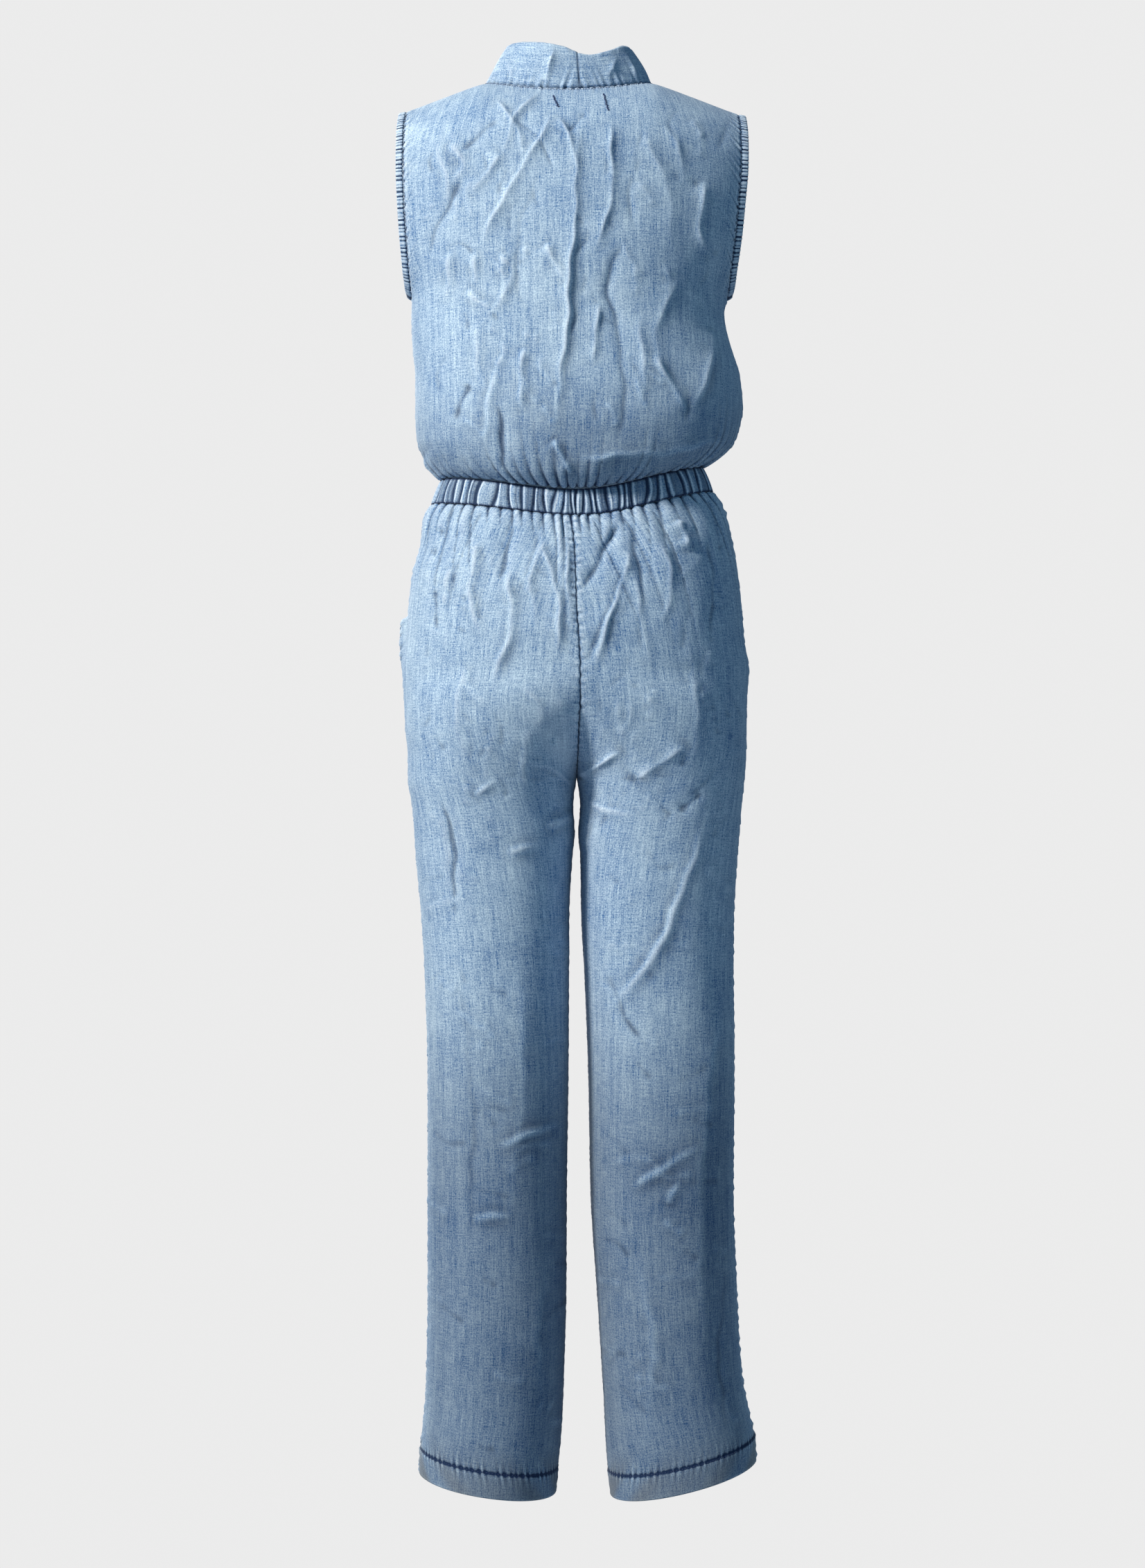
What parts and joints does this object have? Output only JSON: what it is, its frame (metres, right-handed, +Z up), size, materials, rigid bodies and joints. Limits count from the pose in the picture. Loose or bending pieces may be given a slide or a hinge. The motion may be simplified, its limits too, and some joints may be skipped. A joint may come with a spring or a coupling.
{
  "type": "sleeveless jumpsuit (worn form, no wearer)",
  "caption": "Sleeveless light-denim jumpsuit with a stand collar, gathered elastic waist, slant pockets and straight legs, in its hollow worn shape.",
  "frame": {"origin": "midway between the two neck points of the shoulders, where the wearer's shoulders carry the garment", "axes": "+Z up, +Y towards the garment's back, +X towards the wearer's left"},
  "size_m": [0.3648, 0.2611, 1.4822],
  "materials": {
    "denim": "light washed denim with fine vertical streaks, soft and matt",
    "button": "satin blue-grey shirt button"
  },
  "bodies": {
    "root": {"back_bodice": "denim", "front_bodice_left": "denim", "front_bodice_right": "denim", "collar_band_left": "denim", "collar_band_right": "denim", "armhole_binding_left": "denim", "armhole_binding_right": "denim", "waistband": "denim", "trouser_back_left": "denim", "trouser_back_right": "denim", "trouser_front_left": "denim", "trouser_front_right": "denim", "pocket_facing_left": "denim", "pocket_facing_right": "denim", "button_1": "button", "button_2": "button", "button_3": "button", "button_4": "button"}
  },
  "joints": []
}
